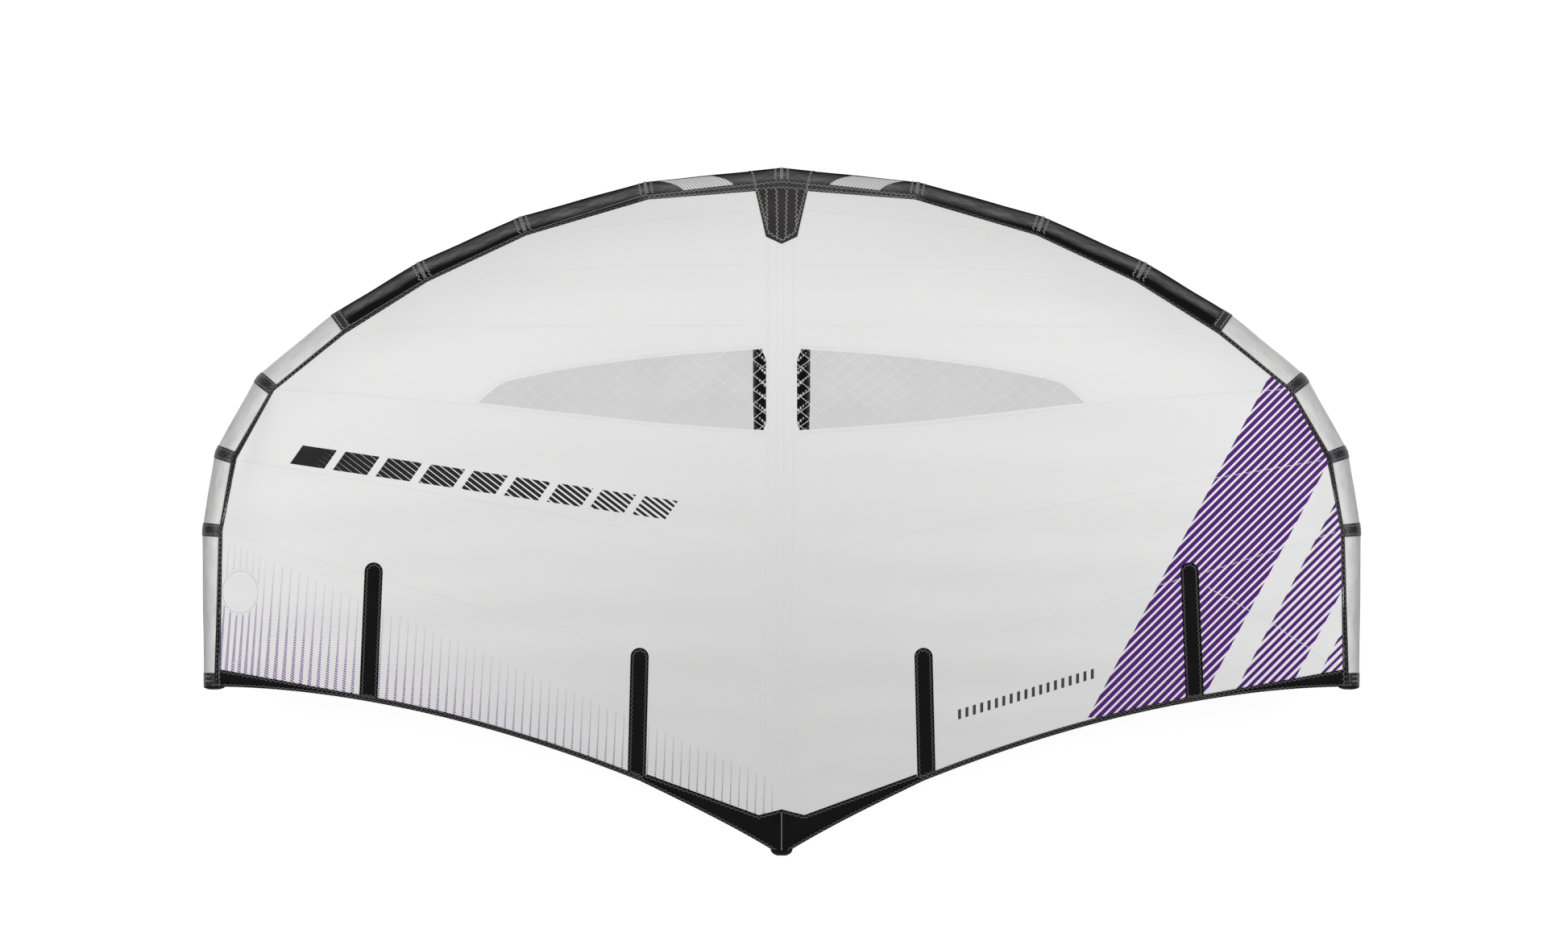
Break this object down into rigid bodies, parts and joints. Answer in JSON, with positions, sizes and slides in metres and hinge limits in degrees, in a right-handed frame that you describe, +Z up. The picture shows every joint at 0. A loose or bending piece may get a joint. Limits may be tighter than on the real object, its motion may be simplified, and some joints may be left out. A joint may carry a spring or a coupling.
{
  "type": "wingfoil wing",
  "caption": "Inflatable hand-held foiling wing: bowed air tube along the front, centre strut, white canopy with windows, batten pockets, soft handles, valve.",
  "frame": {"origin": "on the ground below the middle of the wing's outline, at the height of its lowest point", "axes": "+X along the span to the wing's right in the picture, +Y forward to the nose, +Z up to the top of the canopy"},
  "size_m": [3.94, 2.339, 0.7593],
  "materials": {
    "black_cloth": "charcoal ripstop cloth with a soft sheen",
    "white_film": "crinkled white laminate",
    "canopy_cloth": "white ripstop canopy cloth",
    "window_film": "pale film with a scrim of fine lines",
    "black_webbing": "matt black tape and webbing",
    "bladder_film": "milky thermoplastic film",
    "foam_grip": "matt black foam",
    "moulded_plastic": "black moulded plastic",
    "soft_valve": "dark grey soft thermoplastic",
    "batten_glass": "glass fibre rod, flat",
    "steel": "polished steel wire"
  },
  "bodies": {
    "wing": {"leading_edge_panel_right_1": "black_cloth", "leading_edge_panel_right_2": "black_cloth", "leading_edge_panel_right_3": "black_cloth", "leading_edge_panel_right_4": "black_cloth", "leading_edge_panel_right_5": "white_film", "leading_edge_panel_right_6": "white_film", "leading_edge_panel_right_7": "white_film", "leading_edge_panel_right_8": "white_film", "canopy_right": "canopy_cloth", "scuff_pad_right": "canopy_cloth", "window_right": "window_film", "seam_tape_right": "black_webbing", "trailing_tape_right": "black_webbing", "tip_cap_right": "black_webbing", "batten_pocket_outer_right": "black_webbing", "batten_outer_right": "batten_glass", "batten_pocket_inner_right": "black_webbing", "batten_inner_right": "batten_glass", "leading_edge_panel_left_1": "black_cloth", "leading_edge_panel_left_2": "black_cloth", "leading_edge_panel_left_3": "black_cloth", "leading_edge_panel_left_4": "black_cloth", "leading_edge_panel_left_5": "white_film", "leading_edge_panel_left_6": "white_film", "leading_edge_panel_left_7": "white_film", "leading_edge_panel_left_8": "white_film", "canopy_left": "canopy_cloth", "scuff_pad_left": "canopy_cloth", "window_left": "window_film", "seam_tape_left": "black_webbing", "trailing_tape_left": "black_webbing", "tip_cap_left": "black_webbing", "batten_pocket_outer_left": "black_webbing", "batten_outer_left": "batten_glass", "batten_pocket_inner_left": "black_webbing", "batten_inner_left": "batten_glass", "centre_strip": "canopy_cloth", "nose_patch": "black_cloth", "strut_sleeve": "black_cloth", "trailing_patch": "black_webbing", "strut_end_cap": "black_webbing", "leash_tab": "black_webbing", "leading_edge_bladder": "bladder_film", "strut_bladder": "bladder_film", "inflation_hose": "bladder_film", "valve_base": "soft_valve", "hose_port_leading_edge": "soft_valve", "hose_port_strut": "soft_valve", "hose_clamp": "moulded_plastic"},
    "nose_handle": {"nose_handle_strap": "black_webbing", "nose_handle_grip": "foam_grip"},
    "front_handle": {"front_handle_strap": "black_webbing", "front_handle_grip": "foam_grip"},
    "rear_handle": {"rear_handle_strap": "black_webbing", "rear_handle_grip": "foam_grip"},
    "valve_poppet": {"valve_poppet": "moulded_plastic"},
    "valve_cap": {"valve_cap": "moulded_plastic"},
    "clamp_lever": {"clamp_lever": "moulded_plastic"},
    "leash_ring": {"leash_ring": "steel"}
  },
  "joints": [
    {"name": "nose_handle_swing", "type": "hinge", "parent": "wing", "child": "nose_handle", "pos_m": [0, 1.03422, 0.09418], "axis": [1, 0, 0], "range_deg": [-70, 70]},
    {"name": "front_handle_swing", "type": "hinge", "parent": "wing", "child": "front_handle", "pos_m": [0, 0.40993, 0.30697], "axis": [0, 1, -0.0052], "range_deg": [-70, 70]},
    {"name": "rear_handle_swing", "type": "hinge", "parent": "wing", "child": "rear_handle", "pos_m": [0, -0.23939, 0.29469], "axis": [0, 0.9989, 0.0474], "range_deg": [-70, 70]},
    {"name": "valve_poppet_push", "type": "slide", "parent": "wing", "child": "valve_poppet", "axis": [-0.1233, 0.0119, 0.9923], "range_m": [0, 0.005], "stiffness_N_per_m": 150, "springref_m": -0.002},
    {"name": "valve_cap_hinge", "type": "hinge", "parent": "wing", "child": "valve_cap", "pos_m": [0.29716, 1.01527, 0.12365], "axis": [-0.0957, -0.9954, 0], "range_deg": [0, 120]},
    {"name": "clamp_lever_hinge", "type": "hinge", "parent": "wing", "child": "clamp_lever", "pos_m": [-0.18407, 0.78028, 0.17462], "axis": [0.5451, -0.744, -0.3865], "range_deg": [0, 105]},
    {"name": "leash_ring_swing", "type": "hinge", "parent": "wing", "child": "leash_ring", "pos_m": [0, 0.64, 0.29914], "axis": [1, 0, 0], "range_deg": [-80, 80]}
  ]
}
